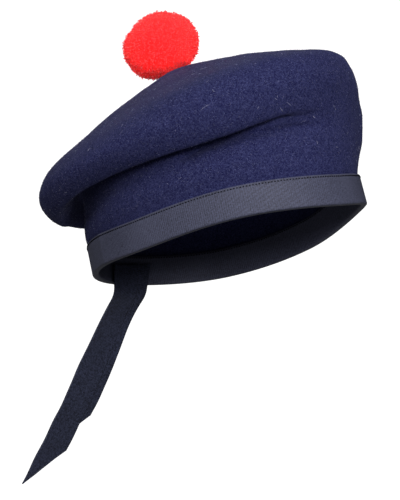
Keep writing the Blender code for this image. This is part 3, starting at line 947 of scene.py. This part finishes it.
def tailGrid(firstAcross, length):
    fan = math.radians(tails["fan"])
    shares = np.linspace(0.0, 1.0, tails["columns"] + 1)
    ends = (length - tails["cut"] * shares) * math.cos(fan) + tails["width"] * shares * math.sin(fan)
    rows = int(ends.max() / (tails["ribMm"] / 1000) * tails["stationsPerRib"])
    profile = tailProfile()
    columns = []
    downs = np.linspace(0.0, 1.0, rows + 1)
    for share, end in zip(shares, ends):
        down = downs * end
        across = firstAcross - down * math.tan(fan) + tails["width"] * share / math.cos(fan)
        columns.append(tailSheet(across, down, profile))
    return np.stack(columns, axis=1), shares, downs[:, None] * ends[None]


def buildTail(name, node, firstAcross, length, layer, material):
    grid, shares, downs = tailGrid(firstAcross, length)
    rows, columns = grid.shape[:2]
    normals = unit(np.cross(np.gradient(grid, axis=0), np.gradient(grid, axis=1)))
    spread = tails["spread"] * np.linspace(0.0, 1.0, rows)[:, None, None]
    face = grid + normals * layer * (hat["ribbonThick"] + hat["clearance"] + spread)
    fan = math.radians(tails["fan"])
    along = downs / math.cos(fan) - tails["width"] * shares[None] * math.tan(fan)
    ribs = 0.5 + 0.5 * np.cos(2 * math.pi * along / (tails["ribMm"] / 1000))
    fromEdgeMm = (0.5 - np.abs(shares - 0.5)) * tails["width"] * 1000
    edge = np.exp(-(fromEdgeMm / tails["selvedgeMm"]) ** 2)[None]
    rise = (tails["ribRiseMm"] * (ribs - 0.5) + tails["selvedgeRiseMm"] * edge) / 1000
    thick = hat["ribbonThick"] * tails["thickShare"]
    front = face - normals * rise[..., None]
    rear = face + normals * (thick + rise)[..., None]
    side = rows * columns
    quads = gridFaces(rows, columns, False)
    places = np.arange(side).reshape(rows, columns)
    rim = np.concatenate([places[0], places[1:, -1], places[-1, -2::-1], places[-2:0:-1, 0]])
    ahead = np.roll(rim, -1)
    edges = np.stack([ahead, rim, side + rim, side + ahead], axis=1)
    points = np.concatenate([front.reshape(-1, 3), rear.reshape(-1, 3)])
    piece = addPiece(name, points, [quads, quads[:, ::-1] + side, edges], material)
    # painted sheen on the rib crests, painted shade between them
    addShades(piece, "paintedRibShading", np.tile(ribs.ravel(), 2))
    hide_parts(node)


# Studio: a pale floor far below and white air behind. The key light comes low from the camera's right, and
# softer lights stand above, beside and behind the hat.
studio = {
    "floorDrop": -1.0,
    "floorRadius": 5.0,
    "floorSides": 96,
    "floorColour": "#f2f2f2",
    "floorGlow": 0.7,  # the lamps are aimed at the hat, so it would look dark
    "cameraAway": 1.6,
    "cameraBearing": 47.0,
    "lens": 167.8,
    "sensor": 36.0,
    "shiftAcross": -0.0574,
    "shiftUp": -0.007,
    "airSeen": 1.15,  # a little over white
    "airBelow": 0.35,  # its light on the hat, from below and from above
    "airAbove": 0.0,
    "airLevels": (-0.5, 0.2),
    "lampsAway": 1.9,
    "lightAim": 0.04,
    "lights": (  # name, bearing, degrees up, size, watts, colour
        ("keyLight", 28.0, 17.0, 0.5, 38.0, "#ffffff"),
        ("frontHighLight", 350.0, 54.0, 0.9, 9.0, "#ffffff"),
        ("leftLight", 122.0, 35.0, 0.9, 9.0, "#ffffff"),
        ("slopeLight", 76.0, 35.0, 0.9, 14.0, "#ffffff"),
        ("sideLight", 50.0, 58.0, 0.9, 5.0, "#ffffff"),
        ("backLight", 205.0, 40.0, 0.9, 8.0, "#f8faff"),
    ),
    "spots": (  # narrow beams on the toorie: name, bearing, degrees up, degrees wide, watts
        ("toorieSideSpot", 335.0, 2.0, 2.35, 72.0),
        ("toorieFrontSpot", 55.0, -1.0, 2.35, 172.0),
    ),
    "spotAim": 0.6,  # share of the toorie's height, clear of the felt
    "spotBlend": 0.3,
    "spotSize": 0.02,
}


def buildAir(scene):  # pure white to the camera, a faint light from below to the hat
    world = bpy.data.worlds.new("studioAir")
    scene.world = world
    world.use_nodes = True
    tree = world.node_tree
    tree.nodes.clear()
    way = addNode(tree, "ShaderNodeTexCoord", {}, {}).outputs["Generated"]
    upward = addNode(tree, "ShaderNodeSeparateXYZ", {}, {"Vector": way}).outputs["Z"]
    strength = addRange(tree, upward, *studio["airLevels"], studio["airBelow"], studio["airAbove"])
    white = hexColour("#ffffff")
    seen = addNode(tree, "ShaderNodeBackground", {}, {"Color": white, "Strength": studio["airSeen"]})
    light = addNode(tree, "ShaderNodeBackground", {}, {"Color": white, "Strength": strength})
    ray = addNode(tree, "ShaderNodeLightPath", {}, {})
    mixed = addNode(tree, "ShaderNodeMixShader", {}, {
        0: ray.outputs["Is Camera Ray"], 1: light.outputs[0], 2: seen.outputs[0]})
    addNode(tree, "ShaderNodeOutputWorld", {}, {"Surface": mixed.outputs[0]})


def buildFloor(scene):
    sides = studio["floorSides"]
    turns = np.arange(sides) / sides * 2 * math.pi
    points = np.stack([np.cos(turns), np.sin(turns), np.zeros(sides)], axis=1) * studio["floorRadius"]
    points[:, 2] = studio["floorDrop"]
    mesh = bpy.data.meshes.new("paleFloor")
    mesh.from_pydata(points.tolist(), [], [list(range(sides))])
    colour = hexColour(studio["floorColour"])
    material = startMaterial("matPaleFloor", {
        "Base Color": colour, "Roughness": 0.9, "Emission Color": colour,
        "Emission Strength": studio["floorGlow"]})[0]
    mesh.materials.append(material)
    floor = bpy.data.objects.new("paleFloor", mesh)
    floor.visible_diffuse = False  # the floor is seen, but the hat is lit as if it hung free
    floor.visible_glossy = False
    scene.collection.objects.link(floor)


def addLamp(scene, name, kind, place, target, watts):
    data = bpy.data.lights.new(name, kind)
    data.energy = watts
    lamp = bpy.data.objects.new(name, data)
    lamp.location = place
    lamp.rotation_euler = (target - place).to_track_quat("-Z", "Y").to_euler()
    lamp.visible_camera = False
    scene.collection.objects.link(lamp)
    return data


def buildLamps(scene):
    target = Vector((0.0, 0.0, studio["lightAim"]))
    for name, bearing, raised, size, watts, code in studio["lights"]:
        place = Vector(wayTo(bearing, raised)) * studio["lampsAway"]
        data = addLamp(scene, name, "AREA", place, target, watts)
        data.shape = "DISK"
        data.size = size
        data.color = hexColour(code)[:3]
    middle = tilted(buttonPoint() + np.array([0.0, 0.0, toorie["height"] * studio["spotAim"]]))
    for name, bearing, raised, wide, watts in studio["spots"]:
        place = Vector(middle + wayTo(bearing, raised) * studio["lampsAway"])
        data = addLamp(scene, name, "SPOT", place, Vector(middle), watts)
        data.spot_size = math.radians(wide)
        data.spot_blend = studio["spotBlend"]
        data.shadow_soft_size = studio["spotSize"]


def buildStudio():
    scene = bpy.context.scene
    scene.view_settings.view_transform = "Standard"
    buildAir(scene)
    buildFloor(scene)
    buildLamps(scene)
    camera = bpy.data.cameras.new("studioCamera")
    camera.lens = studio["lens"]
    camera.sensor_width = studio["sensor"]
    camera.shift_x = studio["shiftAcross"]
    camera.shift_y = studio["shiftUp"]
    holder = bpy.data.objects.new("studioCamera", camera)
    holder.location = wayTo(studio["cameraBearing"]) * studio["cameraAway"]
    holder.rotation_euler = (math.radians(90), 0.0, math.radians(-studio["cameraBearing"]))
    scene.collection.objects.link(holder)
    scene.camera = holder
    print("studio is set")


def main():
    buildStudio()
    skins = crownSkins()
    felt = skins[0]
    seats = BVHTree.FromPolygons(felt.reshape(-1, 3).tolist(), gridFaces(*felt.shape[:2], True).tolist())
    buildCrown(skins, pressedWoolFelt())
    buildNap("feltNap", nap, felt, looseFibre("navyLooseWool"))
    buildNap("feltFlecks", flecks, felt, looseFibre("navyLooseWoolPaintedGlint"))
    buildLint(felt, seats, looseFibre("paleLooseLint"))
    buildBand(wovenGrosgrain("blackWovenGrosgrain", bandWeave))
    buildBandStitches(looseFibre("blackSewingThread"))
    buildToorie(seats, cutWoolYarn(), looseFibre("scarletYarnEndsPaintedShade"), looseFibre("scarletLooseWool"))
    ribbon = wovenGrosgrain("darkerTailWovenGrosgrain", tailWeave)
    edge = tails["rightEdge"]
    buildTail("tailLeftRibbon", "tail_left", edge + tails["step"], tails["leftLength"], 0, ribbon)
    buildTail("tailRightRibbon", "tail_right", edge, tails["rightLength"], 1, ribbon)


main()
